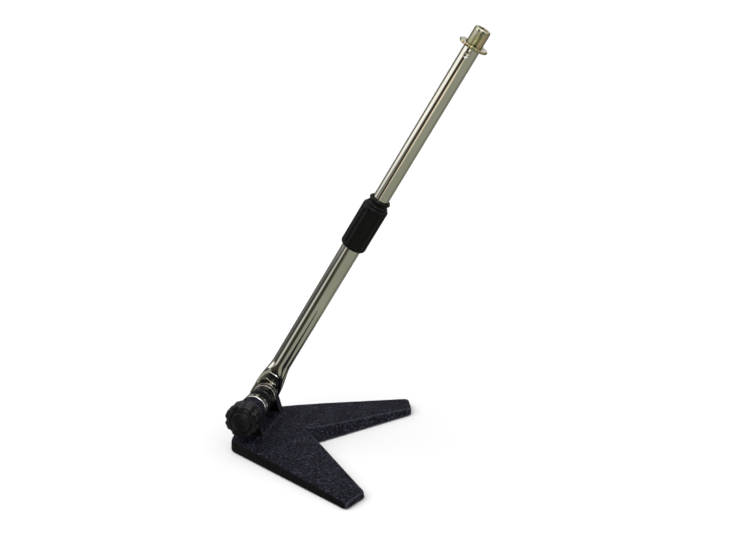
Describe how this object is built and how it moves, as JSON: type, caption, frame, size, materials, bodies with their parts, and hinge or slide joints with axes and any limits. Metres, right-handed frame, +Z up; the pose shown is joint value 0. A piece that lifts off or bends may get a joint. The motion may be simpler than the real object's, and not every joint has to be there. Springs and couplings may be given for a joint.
{
  "type": "desktop microphone stand",
  "caption": "Desktop microphone stand: V-shaped cast base, tilting telescopic tube with a clamp knob and a twist clutch, threaded top with a lock ring.",
  "frame": {"origin": "the point on the desk straight under the tilt axis, in the middle of the base's left-right symmetry plane, on the rear foot pad's underside", "axes": "+Z up, +X towards the leg tips and the way the tube leans, +Y along the tilt axis away from the knob"},
  "size_m": [0.2422, 0.241, 0.4296],
  "materials": {
    "wrinkle_coat": "black wrinkle powder coat on cast iron, smooth and glossier on the edges",
    "black_plastic": "black moulded plastic, satin",
    "rubber": "black rubber",
    "chrome": "bright nickel-chrome plated steel",
    "yellow_zinc": "yellow passivated zinc plate",
    "bright_steel": "bright zinc plated steel",
    "brass": "turned brass",
    "nylon": "natural nylon",
    "fibre": "red-brown vulcanised fibre"
  },
  "bodies": {
    "base": {"base_casting": "wrinkle_coat", "foot_pad_rear": "rubber", "foot_pad_left": "rubber", "foot_pad_right": "rubber", "pivot_bolt": "bright_steel", "bolt_washer": "bright_steel", "lock_washer": "bright_steel", "near_bush": "chrome", "compression_ring": "rubber", "clamp_spacer": "black_plastic", "clamp_washer": "chrome", "friction_disc": "fibre"},
    "knob_washer": {"knob_washer": "bright_steel"},
    "knob": {"knob": "black_plastic", "knob_cap": "black_plastic", "knob_insert": "brass"},
    "lower_tube": {"lower_tube": "chrome", "clutch_body": "black_plastic", "clutch_collet": "nylon"},
    "clutch_seal": {"clutch_seal": "rubber"},
    "clutch_sleeve": {"clutch_sleeve": "black_plastic", "clutch_collar": "black_plastic"},
    "guide_bush": {"guide_bush": "nylon"},
    "upper_tube": {"upper_tube": "chrome", "thread_adapter": "yellow_zinc"},
    "lock_ring": {"lock_ring": "yellow_zinc"}
  },
  "joints": [
    {"name": "stand_tilt", "type": "hinge", "parent": "base", "child": "lower_tube", "pos_m": [0, 0.012, 0.0384], "axis": [0, 1, 0], "range_deg": [-60, 59]},
    {"name": "knob_slide", "type": "slide", "parent": "base", "child": "knob_washer", "axis": [0, -1, 0], "range_m": [0, 0.0025]},
    {"name": "knob_turn", "type": "hinge", "parent": "knob_washer", "child": "knob", "pos_m": [0, -0.042, 0.0384], "axis": [0, -1, 0], "range_deg": [0, 720]},
    {"name": "sleeve_slide", "type": "slide", "parent": "lower_tube", "child": "clutch_seal", "axis": [0.4924, 0, 0.8704], "range_m": [0, 0.0011]},
    {"name": "sleeve_turn", "type": "hinge", "parent": "clutch_seal", "child": "clutch_sleeve", "pos_m": [0.1094, 0.012, 0.23502], "axis": [0.4924, 0, 0.8704], "range_deg": [0, 264]},
    {"name": "tube_extend", "type": "slide", "parent": "lower_tube", "child": "guide_bush", "axis": [0.4924, 0, 0.8704], "range_m": [-0.098, 0.05]},
    {"name": "tube_turn", "type": "hinge", "parent": "guide_bush", "child": "upper_tube", "pos_m": [0.1094, 0.012, 0.23502], "axis": [0.4924, 0, 0.8704], "continuous": true},
    {"name": "lock_ring_travel", "type": "slide", "parent": "upper_tube", "child": "lock_ring", "axis": [0.4924, 0, 0.8704], "range_m": [0, 0.008]}
  ],
  "couplings": [
    {"joint": "knob_slide", "follows": "knob_turn", "m_per_rad": 0.00019894},
    {"joint": "sleeve_slide", "follows": "sleeve_turn", "m_per_rad": 0.00023873}
  ]
}
